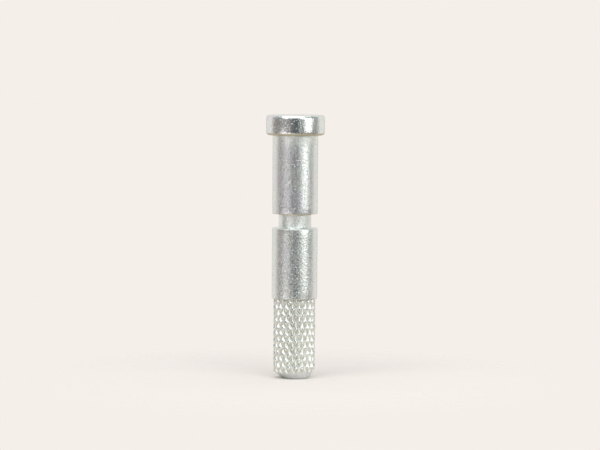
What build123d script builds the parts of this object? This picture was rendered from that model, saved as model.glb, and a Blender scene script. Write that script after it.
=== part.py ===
from build123d import *
from math import cos, pi, radians, sin, tan
import os

# Steel stop pin, turned from one bar: a flat head, a plain shank, a narrow ring groove,
# more plain shank, and a knurled end with a chamfered tip.
# It stands on its tip: Z = 0 is the flat end face, and +Z runs up the axis to the head.

# Driving dimensions, in millimetres and degrees.
head_diameter = 9.0
head_height = 3.1
head_top_round_width = 0.38
head_top_round_height = 0.62
head_under_chamfer = 0.18

shank_diameter = 7.0
upper_shank_length = 12.0
lower_shank_length = 10.8
shank_edge_break = 0.12

groove_diameter = 5.0
groove_width = 2.2
groove_corner_radius = 0.25

knurl_diameter = 6.6
knurl_length = 12.3
knurl_pitch = 1.0
knurl_helix_angle = 30.0
knurl_flank_angle = 45.0
knurl_land = 0.16
tip_chamfer_width = 1.1
tip_chamfer_height = 1.25

# Heights of the steps, from the end face up.
shoulder_z = knurl_length
groove_bottom_z = shoulder_z + lower_shank_length
groove_top_z = groove_bottom_z + groove_width
head_bottom_z = groove_top_z + upper_shank_length
head_top_z = head_bottom_z + head_height

# The knurl is two sets of V grooves, one of each hand, that leave a diamond point between
# four crossings. A whole number of grooves goes round the bar, as near the pitch as fits.
# Points and crossings lie on a grid of columns round the bar and rows along it.
knurl_starts = round(pi * knurl_diameter * cos(radians(knurl_helix_angle)) / knurl_pitch)
columns = 2 * knurl_starts
column_angle = 360 / columns
row_height = pi * knurl_diameter / columns / tan(radians(knurl_helix_angle))
groove_spacing = 2 * row_height * sin(radians(knurl_helix_angle))
flank_slope = tan(radians(knurl_flank_angle))
knurl_depth = (groove_spacing - knurl_land) / 2 * flank_slope
cut_off_height = knurl_land / 2 * flank_slope


def turned_body():
    """Head, shanks and groove: one half section, revolved about the axis."""
    head_r = head_diameter / 2
    shank_r = shank_diameter / 2
    groove_r = groove_diameter / 2
    top_round_centre = (head_r - head_top_round_width, head_top_z - head_top_round_height)
    outline = Polyline(
        (0, head_top_z),
        (0, shoulder_z),
        (shank_r, shoulder_z),
        (shank_r, groove_bottom_z),
        (groove_r, groove_bottom_z),
        (groove_r, groove_top_z),
        (shank_r, groove_top_z),
        (shank_r, head_bottom_z),
        (head_r, head_bottom_z),
        (head_r, top_round_centre[1]),
    )
    top_round = EllipticalCenterArc(
        top_round_centre, head_top_round_width, head_top_round_height, start_angle=0, arc_size=90
    )
    top_face = Line(top_round @ 1, (0, head_top_z))
    section = make_face([outline, top_round, top_face])

    def corner(radius, height):
        return section.vertices().sort_by_distance((radius, height, 0))[0]

    shank_edges = [corner(shank_r, z) for z in (shoulder_z, groove_bottom_z, groove_top_z)]
    section = chamfer(shank_edges, shank_edge_break)
    section = chamfer(corner(head_r, head_bottom_z), head_under_chamfer)
    groove_corners = [corner(groove_r, z) for z in (groove_bottom_z, groove_top_z)]
    section = fillet(groove_corners, groove_corner_radius)
    return revolve(Plane.XZ * section, Axis.Z)


def knurl_node(column, row):
    """The grid's node there: a sharp diamond point, or a crossing of two grooves."""
    is_point = (column + row) % 2 == 0
    radius = knurl_diameter / 2 + (cut_off_height if is_point else -knurl_depth)
    angle = radians((column + 0.5) * column_angle)
    return Vector(radius * cos(angle), radius * sin(angle), shoulder_z - (row - 0.5) * row_height)


def point_facets(column, row, last_row):
    """The flanks of one diamond point, each between its tip and two crossings next to it."""
    ring = [(column - 1, row), (column, row - 1), (column + 1, row), (column, row + 1)]
    facets = []
    for first, second in zip(ring, ring[1:] + ring[:1]):
        if 0 <= min(first[1], second[1]) and max(first[1], second[1]) <= last_row:
            tip = knurl_node(column, row)
            facets.append(Face(Wire.make_polygon([tip, knurl_node(*first), knurl_node(*second)])))
    return facets


def knurled_bar():
    """Diamond points all round a bar, their tips cut flat, and the bar's end chamfered."""
    last_row = int(knurl_length / row_height) + 3
    facets = []
    for column in range(columns):
        for row in range(column % 2, last_row + 1, 2):
            facets += point_facets(column, row, last_row)
    for row in (0, last_row):
        facets.append(Face(Wire.make_polygon([knurl_node(column, row) for column in range(columns)])))
    sharp_bar = Solid(Shell(facets))
    lands = extrude(RegularPolygon(knurl_diameter / 2, columns, major_radius=False), shoulder_z)
    end_r = knurl_diameter / 2 - tip_chamfer_width
    cone_spread = shoulder_z * tip_chamfer_width / tip_chamfer_height
    tip_cone = Cone(
        end_r, end_r + cone_spread, shoulder_z, align=(Align.CENTER, Align.CENTER, Align.MIN)
    )
    return sharp_bar & lands & tip_cone


stop_pin = turned_body() + knurled_bar()
os.makedirs("parts", exist_ok=True)
export_step(stop_pin, "parts/stop_pin.step")
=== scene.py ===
"""Looks of the steel stop pin: the plated finish, the fine form of its knurl, the light and the view."""
import math

import bpy
from mathutils import Matrix, Vector, noise


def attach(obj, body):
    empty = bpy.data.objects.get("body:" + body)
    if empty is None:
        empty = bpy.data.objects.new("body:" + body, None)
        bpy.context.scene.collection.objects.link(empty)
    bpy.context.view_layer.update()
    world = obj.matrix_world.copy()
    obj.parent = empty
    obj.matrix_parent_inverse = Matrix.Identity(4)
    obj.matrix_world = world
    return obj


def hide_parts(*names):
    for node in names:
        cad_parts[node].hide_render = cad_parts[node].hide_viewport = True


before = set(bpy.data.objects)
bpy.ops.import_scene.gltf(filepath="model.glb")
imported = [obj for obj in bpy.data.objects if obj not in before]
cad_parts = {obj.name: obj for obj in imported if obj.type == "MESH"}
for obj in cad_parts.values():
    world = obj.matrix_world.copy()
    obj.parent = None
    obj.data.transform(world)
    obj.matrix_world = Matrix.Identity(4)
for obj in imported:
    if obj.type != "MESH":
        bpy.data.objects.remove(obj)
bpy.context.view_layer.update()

MM = 0.001

# Sizes of the pin, in millimetres. Heights run up the axis from the flat end of the tip.
HEAD_R = 4.5
HEAD_HEIGHT = 3.1
HEAD_TOP_ROUND_WIDTH = 0.38
HEAD_TOP_ROUND_HEIGHT = 0.62
HEAD_UNDER_ROUND = 0.52
HEAD_CORNER_RADIUS = 0.10
SHANK_R = 3.5
UPPER_SHANK_LENGTH = 12.0
LOWER_SHANK_LENGTH = 10.8
SHANK_EDGE_BREAK = 0.12
GROOVE_R = 2.5
GROOVE_WIDTH = 2.2
GROOVE_CORNER_RADIUS = 0.25

# The knurl: V grooves of both hands round a bar. Their roots, the crests between them and the
# ridges where two flanks meet are rounded, and the whole is a little uneven.
KNURL_R = 3.3
KNURL_LENGTH = 12.3
KNURL_STARTS = 18
KNURL_HELIX_ANGLE = math.radians(30)
KNURL_FLANK_SLOPE = 1.25
KNURL_LAND = 0.34
KNURL_ROOT_RADIUS = 0.06
KNURL_CREST_SOFTNESS = 0.12
KNURL_RIDGE_SOFTNESS = 0.02
KNURL_UNEVENNESS = 0.032
COARSE_UNEVENNESS_SCALE = 1.1
FINE_UNEVENNESS_SCALE = 2.7
FINE_UNEVENNESS_SHARE = 0.5

# The chamfer of the tip is a little askew: the flat end's radius and how fast the chamfer spreads
# with height, each as a mean and how far it departs to each side, and how soft its upper edge is.
TIP_END_R = 1.98
TIP_END_R_SKEW = 0.22
TIP_SPREAD = 1.0
TIP_SPREAD_SKEW = -0.33
TIP_EDGE_SOFTNESS = 0.045

# The round between the chamfer and the flat end, and its rings, as shares of its height.
TIP_END_ROUND = 0.12
TIP_END_RINGS = (0.8, 0.45, 0.2, 0)

SHOULDER_Z = KNURL_LENGTH
GROOVE_BOTTOM_Z = SHOULDER_Z + LOWER_SHANK_LENGTH
GROOVE_TOP_Z = GROOVE_BOTTOM_Z + GROOVE_WIDTH
HEAD_BOTTOM_Z = GROOVE_TOP_Z + UPPER_SHANK_LENGTH
HEAD_TOP_Z = HEAD_BOTTOM_Z + HEAD_HEIGHT

# The knurl's grid: a diamond point or a crossing of two grooves at every column and row, and STEPS
# mesh cells from each to the next. On the turned part rings are no further apart than RING_SPACING,
# and the first lies FIRST_RING_R from the axis.
COLUMNS = 2 * KNURL_STARTS
ROW_HEIGHT = 2 * math.pi * KNURL_R / COLUMNS / math.tan(KNURL_HELIX_ANGLE)
STEPS = 11
AROUND = COLUMNS * STEPS
ANGLES = [360 * k / AROUND for k in range(AROUND)]
RING_SPACING = 1.0
FIRST_RING_R = 0.4

# How far tumbling has polished each place: 1 is bright and 0 is matt. A root of the knurl is less
# polished than a crest by the loss, and the lower shank's value begins inside the groove.
HEAD_BURNISH = 1.0
UPPER_SHANK_BURNISH = 0.62
LOWER_SHANK_BURNISH = 0.65
LOWER_SHANK_FROM_Z = GROOVE_TOP_Z - 1.0
CREST_BURNISH = 0.76
ROOT_BURNISH_LOSS = 0.66
CHAMFER_BURNISH = 0.55
END_BURNISH = 0.3

# How much of the turning tool's fine rings is left at each place, and how far below the head the
# rings under it have faded. A place within the margin of the head's top counts as its flat face.
HEAD_MIDDLE_RINGS = 0.3
HEAD_TOP_RINGS = 0.4
HEAD_TOP_MARGIN = 0.01
GROOVE_RINGS = 0.75
SHANK_RINGS = 0.05
UNDER_HEAD_RINGS = 0.72
UNDER_HEAD_REACH = 1.8
END_RINGS = 0.5

# The depth at which a hollow of the knurl is at its dullest, the least value that marks a place as
# knurl, how near to the chamfer's own surface a place counts as chamfer, and how much of the chamfer's
# dull colour with painted shade the end's middle takes.
HOLLOW_DEPTH = 0.40
KNURL_MARK = 0.06
CHAMFER_MARGIN = 0.03
END_DULL_SHADE = 0.5


def arc(centre, radii, start, end, steps):
    """Points (radius, height) along an elliptical arc in the half section; angles in degrees."""
    points = []
    for k in range(steps + 1):
        a = math.radians(start + (end - start) * k / steps)
        points.append((centre[0] + radii[0] * math.cos(a), centre[1] + radii[1] * math.sin(a)))
    return points


def round_corner(centre, radius, start, end, steps):
    return arc(centre, (radius, radius), start, end, steps)


def turned_section():
    """The half section from the middle of the head's top down to the shoulder over the knurl."""
    under, inner = HEAD_UNDER_ROUND, HEAD_CORNER_RADIUS
    edge, corner = SHANK_EDGE_BREAK, GROOVE_CORNER_RADIUS
    top_centre = (HEAD_R - HEAD_TOP_ROUND_WIDTH, HEAD_TOP_Z - HEAD_TOP_ROUND_HEIGHT)
    top_radii = (HEAD_TOP_ROUND_WIDTH, HEAD_TOP_ROUND_HEIGHT)
    points = [(FIRST_RING_R, HEAD_TOP_Z)]
    points += arc(top_centre, top_radii, 90, 0, 12)
    points += round_corner((HEAD_R - under, HEAD_BOTTOM_Z + under), under, 0, -90, 6)
    points += round_corner((SHANK_R + inner, HEAD_BOTTOM_Z - inner), inner, 90, 180, 4)
    points += round_corner((SHANK_R - edge, GROOVE_TOP_Z + edge), edge, 0, -90, 4)
    points += round_corner((GROOVE_R + corner, GROOVE_TOP_Z - corner), corner, 90, 180, 6)
    points += round_corner((GROOVE_R + corner, GROOVE_BOTTOM_Z + corner), corner, 180, 270, 6)
    points += round_corner((SHANK_R - edge, GROOVE_BOTTOM_Z - edge), edge, 90, 0, 4)
    points += round_corner((SHANK_R - edge, SHOULDER_Z + edge), edge, 0, -90, 4)
    return points


def subdivided(points, spacing):
    """The same line with no stretch longer than the spacing."""
    out = [points[0]]
    for start, end in zip(points, points[1:]):
        count = max(1, math.ceil(math.dist(start, end) / spacing))
        for k in range(1, count + 1):
            out.append(tuple(s + (e - s) * k / count for s, e in zip(start, end)))
    return out


def soft_max(a, b, softness):
    """The larger of the two, rounded where they are alike."""
    return (a + b + math.sqrt((a - b) ** 2 + softness ** 2)) / 2


def groove_cut(phase):
    """How deep one hand's grooves cut at a place between two of them; whole phases are on a crest."""
    spacing = 2 * ROW_HEIGHT * math.sin(KNURL_HELIX_ANGLE)
    half_width = (spacing - KNURL_LAND) / 2
    from_root = abs(phase - math.floor(phase) - 0.5) * spacing
    rounded = math.hypot(from_root, KNURL_ROOT_RADIUS)
    return soft_max(0, (half_width - rounded) * KNURL_FLANK_SLOPE, KNURL_CREST_SOFTNESS)


def knurl_cut(angle, z):
    """How deep the knurl is cut at an angle (degrees) and a height."""
    column = angle / 360 * COLUMNS - 0.5
    row = (SHOULDER_Z - z) / ROW_HEIGHT + 0.5
    one_hand = groove_cut((column + row) / 2)
    other_hand = groove_cut((column - row) / 2)
    return soft_max(one_hand, other_hand, KNURL_RIDGE_SOFTNESS)


def chamfer_radius(angle, z):
    """The tip's chamfer, ground a little askew, and rounded into the flat end."""
    side = math.cos(math.radians(angle))
    end_r = TIP_END_R + TIP_END_R_SKEW * side
    spread = TIP_SPREAD + TIP_SPREAD_SKEW * side
    rounding = max(0, 1 - z / TIP_END_ROUND) ** 2 * TIP_END_ROUND
    return end_r + spread * z - rounding


def knurled_radius(angle, z):
    """The knurled bar, a little uneven, where it lies inside the tip's chamfer."""
    a = math.radians(angle)
    place = Vector((KNURL_R * math.cos(a), KNURL_R * math.sin(a), z))
    coarse = noise.noise(place * COARSE_UNEVENNESS_SCALE)
    fine = noise.noise(place * FINE_UNEVENNESS_SCALE)
    uneven = coarse + FINE_UNEVENNESS_SHARE * fine
    bar = KNURL_R - knurl_cut(angle, z) + KNURL_UNEVENNESS * (uneven - 1)
    return -soft_max(-bar, -chamfer_radius(angle, z), TIP_EDGE_SOFTNESS)


def knurl_heights():
    """Ring heights from the shoulder down to the flat end, in steps that follow the diamonds."""
    step = ROW_HEIGHT / STEPS
    heights = [SHOULDER_Z - j * step for j in range(int(SHOULDER_Z / step))]
    return [z for z in heights if z > TIP_END_ROUND] + [TIP_END_ROUND * f for f in TIP_END_RINGS]


def turned_burnish(z):
    """How far the turned surface is polished at a height: most on the head."""
    if z > HEAD_BOTTOM_Z:
        return HEAD_BURNISH
    return UPPER_SHANK_BURNISH if z > LOWER_SHANK_FROM_Z else LOWER_SHANK_BURNISH


def rings_left(radius, z):
    """How much of the rings is left on the turned surface there: most in the groove and under the head."""
    if z > HEAD_TOP_Z - HEAD_TOP_MARGIN:
        return HEAD_TOP_RINGS
    if z > HEAD_BOTTOM_Z:
        return 0.0
    if radius < (GROOVE_R + SHANK_R) / 2:
        return GROOVE_RINGS
    below_head = (HEAD_BOTTOM_Z - z) / UNDER_HEAD_REACH
    return SHANK_RINGS + UNDER_HEAD_RINGS * math.exp(-below_head ** 2)


class PinSurface:
    """The pin's vertices, ring by ring, with the values that the finish reads at each."""

    def __init__(self):
        self.verts = []
        self.values = {"burnish": [], "recess": [], "turned": [], "dull_shade": []}

    def add(self, radius, angle, z, burnish, recess=0.0, turned=0.0, dull_shade=0.0):
        a = math.radians(angle)
        self.verts.append((radius * math.cos(a) * MM, radius * math.sin(a) * MM, z * MM))
        self.values["burnish"].append(burnish)
        self.values["recess"].append(recess)
        self.values["turned"].append(turned)
        self.values["dull_shade"].append(dull_shade)

    def add_turned_ring(self, radius, z):
        for angle in ANGLES:
            self.add(radius, angle, z, turned_burnish(z), turned=rings_left(radius, z))

    def add_knurled_ring(self, z):
        """One ring of the knurl or the chamfer. The chamfer is dull, with painted shade on its left side.
        """
        for angle in ANGLES:
            radius = knurled_radius(angle, z)
            if radius > chamfer_radius(angle, z) - CHAMFER_MARGIN:
                # Painted shade: a duller, greyer colour that grows toward the chamfer's left side.
                shaded_left = 0.5 - 0.5 * math.cos(math.radians(angle))
                self.add(radius, angle, z, CHAMFER_BURNISH, dull_shade=shaded_left)
            else:
                depth = min(1, max(0, (KNURL_R - radius) / HOLLOW_DEPTH))
                burnish = CREST_BURNISH - ROOT_BURNISH_LOSS * depth ** 3
                self.add(radius, angle, z, burnish, recess=max(depth, KNURL_MARK))


def vertex(ring, k):
    """The number of a ring's vertex. Vertex 0 is the middle of the head's top."""
    return 1 + ring * AROUND + k % AROUND


def turned_faces(rings):
    """The head's top and the turned part, down to the knurl's first ring."""
    faces = [(0, vertex(0, k), vertex(0, k + 1)) for k in range(AROUND)]
    for ring in range(rings):
        for k in range(AROUND):
            a, b = vertex(ring, k), vertex(ring, k + 1)
            c, d = vertex(ring + 1, k), vertex(ring + 1, k + 1)
            faces.append((a, c, d, b))
    return faces


def knurl_faces(first, last):
    """The knurl in triangles, split along its ridges and grooves, and the flat end."""
    faces = []
    for ring in range(first, last):
        row = math.floor((ring - first + STEPS / 2) / STEPS)
        for k in range(AROUND):
            column = math.floor((k - STEPS / 2) / STEPS)
            a, b = vertex(ring, k), vertex(ring, k + 1)
            c, d = vertex(ring + 1, k), vertex(ring + 1, k + 1)
            if (column + row) % 2 == 0:
                faces += [(a, c, b), (b, c, d)]
            else:
                faces += [(a, c, d), (a, d, b)]
    end = vertex(last + 1, 0)
    faces += [(vertex(last, k), end, vertex(last, k + 1)) for k in range(AROUND)]
    return faces


def sharpen_ring(mesh, ring):
    """Keeps a ring's edges sharp in the smooth shading."""
    corners = range(vertex(ring, 0), vertex(ring + 1, 0))
    for edge in mesh.edges:
        if edge.vertices[0] in corners and edge.vertices[1] in corners:
            edge.use_edge_sharp = True


def make_pin():
    """The whole pin as one closed mesh of rings, from the middle of the head to the flat end."""
    surface = PinSurface()
    surface.add(0, 0, HEAD_TOP_Z, HEAD_BURNISH, turned=HEAD_MIDDLE_RINGS)
    section = subdivided(turned_section(), RING_SPACING)
    for radius, z in section:
        surface.add_turned_ring(radius, z)
    heights = knurl_heights()
    for z in heights:
        surface.add_knurled_ring(z)
    surface.add(0, 0, 0, END_BURNISH, turned=END_RINGS, dull_shade=END_DULL_SHADE)

    shoulder = len(section)
    faces = turned_faces(shoulder) + knurl_faces(shoulder, shoulder + len(heights) - 1)
    mesh = bpy.data.meshes.new("plated_pin")
    mesh.from_pydata(surface.verts, [], faces)
    mesh.validate()
    mesh.shade_smooth()
    sharpen_ring(mesh, shoulder)
    for name, values in surface.values.items():
        mesh.attributes.new(name, "FLOAT", "POINT").data.foreach_set("value", values)
    pin = bpy.data.objects.new("plated_pin", mesh)
    bpy.context.scene.collection.objects.link(pin)
    return pin


# The photograph's frame and where the pin lies in it, in its pixels, its scale in pixels to a
# millimetre, and the camera's place and sensor in millimetres.
PHOTO_WIDTH = 600
PHOTO_HEIGHT = 450
PHOTO_SCALE = 6.523
PIN_AXIS_X = 294.9
HEAD_TOP_Y = 115.0
PIN_LEAN = math.radians(0.38)
CAMERA_DISTANCE = 400.0
CAMERA_HEIGHT = 50.0
SENSOR = 36.0


def make_camera():
    """A camera at the photograph's angle, with the pin where the photograph has it."""
    aim = Vector((
        (PHOTO_WIDTH / 2 - PIN_AXIS_X) / PHOTO_SCALE,
        0,
        HEAD_TOP_Z - (PHOTO_HEIGHT / 2 - HEAD_TOP_Y) / PHOTO_SCALE,
    ))
    place = Vector((aim.x, -CAMERA_DISTANCE, CAMERA_HEIGHT))
    data = bpy.data.cameras.new("camera")
    data.sensor_width = SENSOR
    data.lens = SENSOR * PHOTO_SCALE * (place - aim).length / PHOTO_WIDTH
    data.clip_start = 0.01
    data.clip_end = 10
    camera = bpy.data.objects.new("camera", data)
    bpy.context.scene.collection.objects.link(camera)
    camera.location = place * MM
    look = (aim - place).to_track_quat("-Z", "Y")
    camera.rotation_mode = "QUATERNION"
    camera.rotation_quaternion = look @ Matrix.Rotation(PIN_LEAN, 4, "Z").to_quaternion()
    bpy.context.scene.camera = camera


class Nodes:
    """A node tree that is written as plain expressions."""

    def __init__(self, tree):
        self.tree = tree

    def add(self, kind, inputs=None, **settings):
        node = self.tree.nodes.new(kind)
        for name, value in settings.items():
            setattr(node, name, value)
        for name, value in (inputs or {}).items():
            self.set(node.inputs[name], value)
        return node

    def set(self, socket, value):
        if isinstance(value, bpy.types.NodeSocket):
            self.tree.links.new(value, socket)
        else:
            socket.default_value = value

    def math(self, operation, *values):
        node = self.add("ShaderNodeMath", operation=operation)
        for socket, value in zip(node.inputs, values):
            self.set(socket, value)
        return node.outputs[0]

    def times(self, one, other):
        return self.math("MULTIPLY", one, other)

    def mix(self, factor, a, b, blend="MIX"):
        node = self.add("ShaderNodeMix", data_type="RGBA", blend_type=blend)
        self.set(node.inputs["Factor"], factor)
        for name, value in (("A", a), ("B", b)):
            socket = [s for s in node.inputs if s.name == name and s.type == "RGBA"][0]
            self.set(socket, value if isinstance(value, bpy.types.NodeSocket) else (*value, 1))
        return [s for s in node.outputs if s.type == "RGBA"][0]

    def ramp(self, value, low, high, to_low=0.0, to_high=1.0):
        """A smooth step of the value from one range to another."""
        inputs = {"Value": value, "From Min": low, "From Max": high, "To Min": to_low, "To Max": to_high}
        node = self.add("ShaderNodeMapRange", inputs, interpolation_type="SMOOTHSTEP")
        return node.outputs["Result"]

    def fall(self, value, low, high):
        """1 below the range, falling smoothly to 0 above it."""
        return self.ramp(value, low, high, 1.0, 0.0)

    def band(self, value, centre, half_width, softness):
        """1 within half a width of the centre, falling softly to 0."""
        off = self.math("ABSOLUTE", self.math("SUBTRACT", value, centre))
        return self.fall(off, half_width - softness, half_width + softness)

    def noise(self, place, scale, detail=1.0, roughness=0.5):
        inputs = {"Vector": place, "Scale": scale, "Detail": detail, "Roughness": roughness}
        return self.add("ShaderNodeTexNoise", inputs).outputs["Fac"]

    def attribute(self, name):
        return self.add("ShaderNodeAttribute", attribute_name=name).outputs["Fac"]

    def part(self, vector, axis):
        return self.add("ShaderNodeSeparateXYZ", {"Vector": vector}).outputs[axis]

    def bump(self, height, distance, strength, under=None):
        """The normal with a relief of that height on it, over the relief underneath if there is one."""
        inputs = {"Height": height, "Distance": distance, "Strength": strength}
        if under:
            inputs["Normal"] = under
        return self.add("ShaderNodeBump", inputs).outputs[0]


# The pale backdrop, and the light that stands round the pin. Bearings are in degrees off the
# camera's side, to the right positive, and heights in degrees over the horizon. A pair is where a
# change starts and ends, and a band is its middle, half its width and its softness.
PALE = (0.913, 0.863, 0.823)
ROOM_LEFT = (0.29, 0.25, 0.245)
ROOM_RIGHT = (0.38, 0.365, 0.35)
ROOM_BEARINGS = (-25.0, 25.0)
ROOM_RIGHT_LOW = (0.22, 0.21, 0.20)
ROOM_LOW_HEIGHTS = (-12.0, 0.0)
BEHIND_LIGHT = (0.50, 0.49, 0.48)
BEHIND_BEARINGS = (89.0, 113.0)
FAR_BEHIND = (0.55, 0.53, 0.50)
FAR_BEHIND_BEARINGS = (160.0, 176.0)
FAR_BEHIND_HEIGHTS = (-1.0, 2.0)
UPPER_SIDE = (0.36, 0.395, 0.41)
UPPER_SIDE_HEIGHTS = (12.0, 26.0)
UPPER_SIDE_BAND = (82.0, 27.0, 10.0)
DARK_FRONT = (0.095, 0.105, 0.112)
DARK_FRONT_BAND = (2.0, 17.0, 12.0)
TABLE = (0.46, 0.42, 0.365)
TABLE_HEIGHTS = (-30.0, -18.0)
TABLE_BEARINGS = (95.0, 125.0)
OVERHEAD = (1.15, 1.15, 1.14)
OVERHEAD_HEIGHTS = (48.0, 68.0)


def room_light(nodes, bearing, height, behind):
    """The light of the room by its bearing and height, with the given colour behind the pin."""
    aside = nodes.math("ABSOLUTE", bearing)
    right = nodes.mix(nodes.ramp(height, *ROOM_LOW_HEIGHTS), ROOM_RIGHT_LOW, ROOM_RIGHT)
    room = nodes.mix(nodes.ramp(bearing, *ROOM_BEARINGS), ROOM_LEFT, right)
    light = nodes.mix(nodes.ramp(aside, *BEHIND_BEARINGS), room, behind)
    far = nodes.times(nodes.ramp(aside, *FAR_BEHIND_BEARINGS), nodes.fall(height, *FAR_BEHIND_HEIGHTS))
    light = nodes.mix(far, light, FAR_BEHIND)
    upper = nodes.times(nodes.ramp(height, *UPPER_SIDE_HEIGHTS), nodes.band(aside, *UPPER_SIDE_BAND))
    light = nodes.mix(upper, light, UPPER_SIDE)
    light = nodes.mix(nodes.band(bearing, *DARK_FRONT_BAND), light, DARK_FRONT)
    table = nodes.times(nodes.fall(height, *TABLE_HEIGHTS), nodes.fall(aside, *TABLE_BEARINGS))
    light = nodes.mix(table, light, TABLE)
    return nodes.mix(nodes.ramp(height, *OVERHEAD_HEIGHTS), light, OVERHEAD)


def make_world():
    """The room's light on the pin, and the pale backdrop for the camera and in the metal."""
    world = bpy.data.worlds.new("studio")
    world.use_nodes = True
    nodes = Nodes(world.node_tree)
    direction = nodes.add("ShaderNodeTexCoord").outputs["Generated"]
    toward = nodes.times(nodes.part(direction, "Y"), -1.0)
    bearing = nodes.math("DEGREES", nodes.math("ARCTAN2", nodes.part(direction, "X"), toward))
    height = nodes.math("DEGREES", nodes.math("ARCSINE", nodes.part(direction, "Z")))
    path = nodes.add("ShaderNodeLightPath").outputs
    mirrored = nodes.math("MAXIMUM", path["Is Glossy Ray"], path["Is Transmission Ray"])
    behind = nodes.mix(mirrored, BEHIND_LIGHT, PALE)
    light = room_light(nodes, bearing, height, behind)
    background = world.node_tree.nodes["Background"]
    nodes.set(background.inputs["Color"], nodes.mix(path["Is Camera Ray"], light, PALE))
    world.cycles.sampling_method = "NONE"
    bpy.context.scene.world = world


# Each lamp's bearing and elevation from the pin's middle in degrees, its distance, width and height
# in metres, its brightness and its colour.
WHITE = (1.0, 1.0, 1.0)
LAMPS = {
    "front_softbox": (-11, 47, 0.70, 1.05, 0.50, 1.75, WHITE),
    "right_softbox": (52.3, 11.2, 0.30, 0.14, 0.155, 2.15, (1, 0.99, 0.965)),
    "left_lamp": (-38, 18, 0.75, 0.13, 0.22, 1.4, WHITE),
    "inner_lamp": (33, 20, 0.75, 0.13, 0.24, 1.5, WHITE),
    "left_softbox": (-49, -26, 0.75, 0.36, 0.50, 1.08, (1, 0.97, 1)),
    "low_lamp": (-20, -32, 0.75, 0.34, 0.20, 1.0, WHITE),
}


def make_lamp(name, bearing, elevation, distance, width, height, brightness, colour):
    """A soft lamp that faces the middle of the pin. Its energy grows with its area."""
    data = bpy.data.lights.new(name, "AREA")
    data.shape = "RECTANGLE"
    data.size = width
    data.size_y = height
    data.energy = brightness * math.pi * width * height
    data.color = colour
    lamp = bpy.data.objects.new(name, data)
    bpy.context.scene.collection.objects.link(lamp)
    a, e = math.radians(bearing), math.radians(elevation)
    out = Vector((math.cos(e) * math.sin(a), -math.cos(e) * math.cos(a), math.sin(e)))
    lamp.location = distance * out + Vector((0, 0, HEAD_TOP_Z / 2 * MM))
    lamp.rotation_euler = out.to_track_quat("Z", "Y").to_euler()
    lamp.visible_camera = False


# The floor, in metres: a disc, the distances between which it fades, and its colour.
FLOOR_R = 0.07
FLOOR_RINGS = 8
FLOOR_SIDES = 96
FLOOR_FADE = (0.018, 0.046)
FLOOR_COLOUR = (0.955, 0.905, 0.87)


def floor_mesh():
    verts = [(0, 0, 0)]
    for j in range(1, FLOOR_RINGS + 1):
        radius = FLOOR_R * j / FLOOR_RINGS
        for k in range(FLOOR_SIDES):
            a = 2 * math.pi * k / FLOOR_SIDES
            verts.append((radius * math.cos(a), radius * math.sin(a), 0))
    faces = [(0, 1 + k, 1 + (k + 1) % FLOOR_SIDES) for k in range(FLOOR_SIDES)]
    for j in range(FLOOR_RINGS - 1):
        for k in range(FLOOR_SIDES):
            a, b = 1 + j * FLOOR_SIDES + k, 1 + j * FLOOR_SIDES + (k + 1) % FLOOR_SIDES
            faces.append((a, a + FLOOR_SIDES, b + FLOOR_SIDES, b))
    mesh = bpy.data.meshes.new("floor")
    mesh.from_pydata(verts, [], faces)
    return mesh


def floor_finish():
    """Pale paper that fades into the backdrop away from the pin."""
    material = bpy.data.materials.new("pale_floor")
    material.use_nodes = True
    tree = material.node_tree
    tree.nodes.remove(tree.nodes["Principled BSDF"])
    nodes = Nodes(tree)
    place = nodes.add("ShaderNodeTexCoord").outputs["Object"]
    away = nodes.add("ShaderNodeVectorMath", {0: place}, operation="LENGTH").outputs["Value"]
    fade = nodes.ramp(away, *FLOOR_FADE)
    paper = nodes.add("ShaderNodeBsdfDiffuse", {"Color": (*FLOOR_COLOUR, 1)}).outputs[0]
    clear = nodes.add("ShaderNodeBsdfTransparent").outputs[0]
    blend = nodes.add("ShaderNodeMixShader", {0: fade, 1: paper, 2: clear}).outputs[0]
    nodes.set(tree.nodes["Material Output"].inputs["Surface"], blend)
    return material


def make_floor():
    floor = bpy.data.objects.new("floor", floor_mesh())
    bpy.context.scene.collection.objects.link(floor)
    floor.data.materials.append(floor_finish())


# Colours of the plating, by place.
COOL_PLATING = (0.84, 0.92, 0.91)
WARM_PLATING = (0.88, 0.93, 0.90)
VIOLET_PLATING = (0.87, 0.89, 0.93)
HOLLOW_COLOUR = (0.88, 0.91, 0.88)
RINGS_COLOUR = (0.93, 0.99, 0.95)
# A golden tint with painted shade, on the edges that face down above the knurl.
GOLDEN_EDGE_SHADE = (0.56, 0.51, 0.39)
KNURL_COLOUR = (0.91, 0.945, 0.88)
# Painted shade, darker and browner, on the knurl's flanks that face down.
UNDER_FLANK_SHADE = (0.66, 0.655, 0.59)
# A dull colour with painted shade, on the left side of the tip's chamfer and the end's middle.
DULL_CHAMFER_SHADE = (0.74, 0.79, 0.75)
MOTTLE_COLOUR = (0.91, 0.91, 0.91)
GLANCING_COLOUR = (0.85, 0.85, 0.84)

# The most that the hollows' and the knurl's colours take over, and the least that the painted shade
# on the knurl's under flanks keeps where the clouds thin it.
HOLLOW_SHARE = 0.7
KNURL_SHARE = 0.6
UNDER_FLANK_SHADE_SHARE = 0.55

# Scales of the noises in the finish, to the metre, from the finest to the broadest, the clouds' detail
# and the grain's roughness as the noise node counts them, and the value in a noise's middle.
SPECK_SCALE = 4600.0
MOTTLE_SCALE = 4300.0
GRAIN_SCALE = 4200.0
WAVE_SCALE = 1500.0
CLOUD_SCALE = 420.0
PATCH_SCALE = 190.0
CLOUD_DETAIL = 2.0
GRAIN_HARSHNESS = 0.6
NOISE_MIDDLE = 0.5

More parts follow.
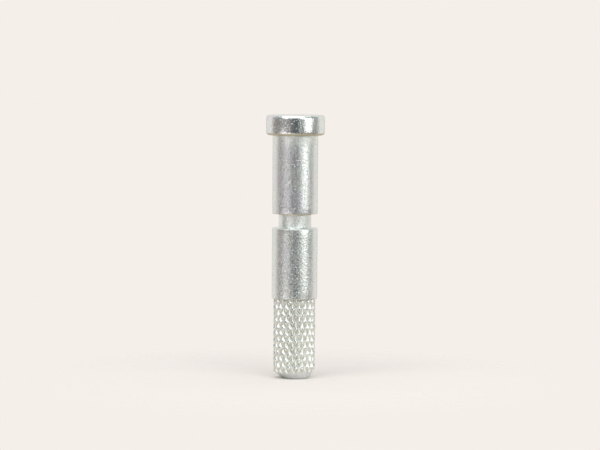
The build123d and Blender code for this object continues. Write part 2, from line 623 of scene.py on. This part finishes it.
# Pairs where a change in the finish starts and ends, in a noise, in the depth of the knurl, in how
# polished it is, in how far the surface faces up (1 is flat up and -1 flat down), and in the height
# in metres.
CLOUDS = (0.35, 0.65)
PATCHES = (0.45, 0.75)
MOTTLES = (0.35, 0.65)
DENTS = (0.59, 0.70)
ON_KNURL = (0.0, 0.05)
HOLLOWS = (0.6, 1.0)
SMOOTHER_GRAIN = (0.7, 1.0)
SHALLOWER_DENTS = (0.5, 1.0)
SHADED_UNDER_FLANKS = (-0.42, -0.12)
SHADED_LOWER_EDGES = (-0.52, -0.14)
NOT_FLAT_DOWN = (-0.998, -0.95)
ABOVE_KNURL = (0.011, 0.012)

# Heights of the relief in metres, the share of the grain and dents that polishing leaves, and how
# much less grain the knurl has.
WAVE_HEIGHT = 0.000006
GRAIN_HEIGHT = 0.000045
DENT_HEIGHT = 0.000023
RING_HEIGHT = 0.0000034
POLISHED_RELIEF = 0.6
LESS_GRAIN_ON_KNURL = 0.35

# The pitch of the turning tool's rings in metres, and how far the waves push them about, in radians
# of that pitch.
RING_PITCH = 0.000045
RING_WANDER = 9.0

# Roughness where the metal is matt and where it is bright, and how far the mottling moves it.
MATT_ROUGHNESS = 0.60
BRIGHT_ROUGHNESS = 0.19
MOTTLE_ROUGHNESS = 0.25


class Plating(Nodes):
    """The plated finish's nodes, with what several of its parts read."""

    def __init__(self, tree):
        super().__init__(tree)
        coordinates = self.add("ShaderNodeTexCoord").outputs
        self.place = coordinates["Object"]
        self.along = self.part(self.place, "Z")
        self.upward = self.part(coordinates["Normal"], "Z")
        self.burnish = self.attribute("burnish")
        self.recess = self.attribute("recess")
        self.turned = self.attribute("turned")
        self.on_knurl = self.ramp(self.recess, *ON_KNURL)
        self.mottle = self.noise(self.place, MOTTLE_SCALE)
        self.waves = self.noise(self.place, WAVE_SCALE)
        self.clouds = self.noise(self.place, CLOUD_SCALE, detail=CLOUD_DETAIL)

    def golden_shaded_edges(self):
        """The edges that face down above the knurl, but not the flat faces, where a golden tint and painted
        shade go.
        """
        under = self.times(self.fall(self.upward, *SHADED_LOWER_EDGES), self.ramp(self.along, *ABOVE_KNURL))
        return self.times(self.ramp(self.upward, *NOT_FLAT_DOWN), under)

    def turned_colour(self):
        """Pale plating in clouds and patches, paler on the rings, with a golden tint and painted shade on
        the lower edges.
        """
        patches = self.ramp(self.noise(self.place, PATCH_SCALE), *PATCHES)
        hollows = self.ramp(self.recess, *HOLLOWS, 0.0, HOLLOW_SHARE)
        colour = self.mix(self.ramp(self.clouds, *CLOUDS), COOL_PLATING, WARM_PLATING)
        colour = self.mix(patches, colour, VIOLET_PLATING)
        colour = self.mix(hollows, colour, HOLLOW_COLOUR)
        colour = self.mix(self.turned, colour, RINGS_COLOUR)
        return self.mix(self.golden_shaded_edges(), colour, GOLDEN_EDGE_SHADE)

    def colour(self):
        """That colour, warmer on the knurl, with painted shade on its under flanks, dull with painted shade
        on the chamfer's left, and mottled.
        """
        # Painted shade on the knurl's flanks that face down, thinned where the clouds are.
        shaded_flanks = self.times(self.fall(self.upward, *SHADED_UNDER_FLANKS), self.on_knurl)
        shaded_flanks = self.times(shaded_flanks, self.ramp(self.clouds, *CLOUDS, UNDER_FLANK_SHADE_SHARE, 1.0))
        colour = self.mix(self.times(self.on_knurl, KNURL_SHARE), self.turned_colour(), KNURL_COLOUR)
        colour = self.mix(shaded_flanks, colour, UNDER_FLANK_SHADE)
        # Painted shade on the chamfer's left side.
        colour = self.mix(self.attribute("dull_shade"), colour, DULL_CHAMFER_SHADE)
        mottled = self.mix(self.ramp(self.mottle, *MOTTLES), MOTTLE_COLOUR, WHITE)
        return self.mix(1.0, colour, mottled, "MULTIPLY")

    def roughness(self):
        smooth = self.ramp(self.burnish, 0.0, 1.0, MATT_ROUGHNESS, BRIGHT_ROUGHNESS)
        uneven = self.times(self.math("SUBTRACT", self.mottle, NOISE_MIDDLE), MOTTLE_ROUGHNESS)
        return self.math("ADD", smooth, uneven)

    def rings(self):
        """Fine rings a pitch apart, up the shank and across the flat faces, that wander a little."""
        level = self.add("ShaderNodeVectorMath", {0: self.place, 1: (1, 1, 0)}, operation="MULTIPLY")
        from_axis = self.add("ShaderNodeVectorMath", {0: level.outputs["Vector"]}, operation="LENGTH")
        run = self.math("ADD", self.along, from_axis.outputs["Value"])
        wander = self.times(self.waves, RING_WANDER)
        return self.math("SINE", self.math("MULTIPLY_ADD", run, 2 * math.pi / RING_PITCH, wander))

    def relief(self):
        """Slow waves, the grain of tumbling, small dents, and the turning tool's rings."""
        grain = self.noise(self.place, GRAIN_SCALE, roughness=GRAIN_HARSHNESS)
        grain_strength = self.math(
            "SUBTRACT",
            self.ramp(self.burnish, *SMOOTHER_GRAIN, 1.0, POLISHED_RELIEF),
            self.times(self.on_knurl, LESS_GRAIN_ON_KNURL),
        )
        dents = self.ramp(self.noise(self.place, SPECK_SCALE), *DENTS)
        dent_strength = self.ramp(self.burnish, *SHALLOWER_DENTS, 1.0, POLISHED_RELIEF)
        relief = self.bump(self.waves, WAVE_HEIGHT, 1.0)
        relief = self.bump(grain, GRAIN_HEIGHT, grain_strength, relief)
        relief = self.bump(dents, DENT_HEIGHT, dent_strength, relief)
        return self.bump(self.rings(), RING_HEIGHT, self.turned, relief)


def plated_finish():
    """Bright plating over turned steel, mottled by tumbling: polished high places, duller hollows."""
    material = bpy.data.materials.new("plated_steel")
    material.use_nodes = True
    plating = Plating(material.node_tree)
    shader = material.node_tree.nodes["Principled BSDF"]
    shader.inputs["Metallic"].default_value = 1.0
    shader.inputs["Specular Tint"].default_value = (*GLANCING_COLOUR, 1)
    plating.set(shader.inputs["Base Color"], plating.colour())
    plating.set(shader.inputs["Roughness"], plating.roughness())
    plating.set(shader.inputs["Normal"], plating.relief())
    return material


make_camera()
bpy.context.scene.view_settings.view_transform = "Standard"
make_world()
for lamp_name, lamp_values in LAMPS.items():
    make_lamp(lamp_name, *lamp_values)
make_floor()

pin = make_pin()
pin.data.materials.append(plated_finish())
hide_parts("stop_pin")
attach(pin, "root")
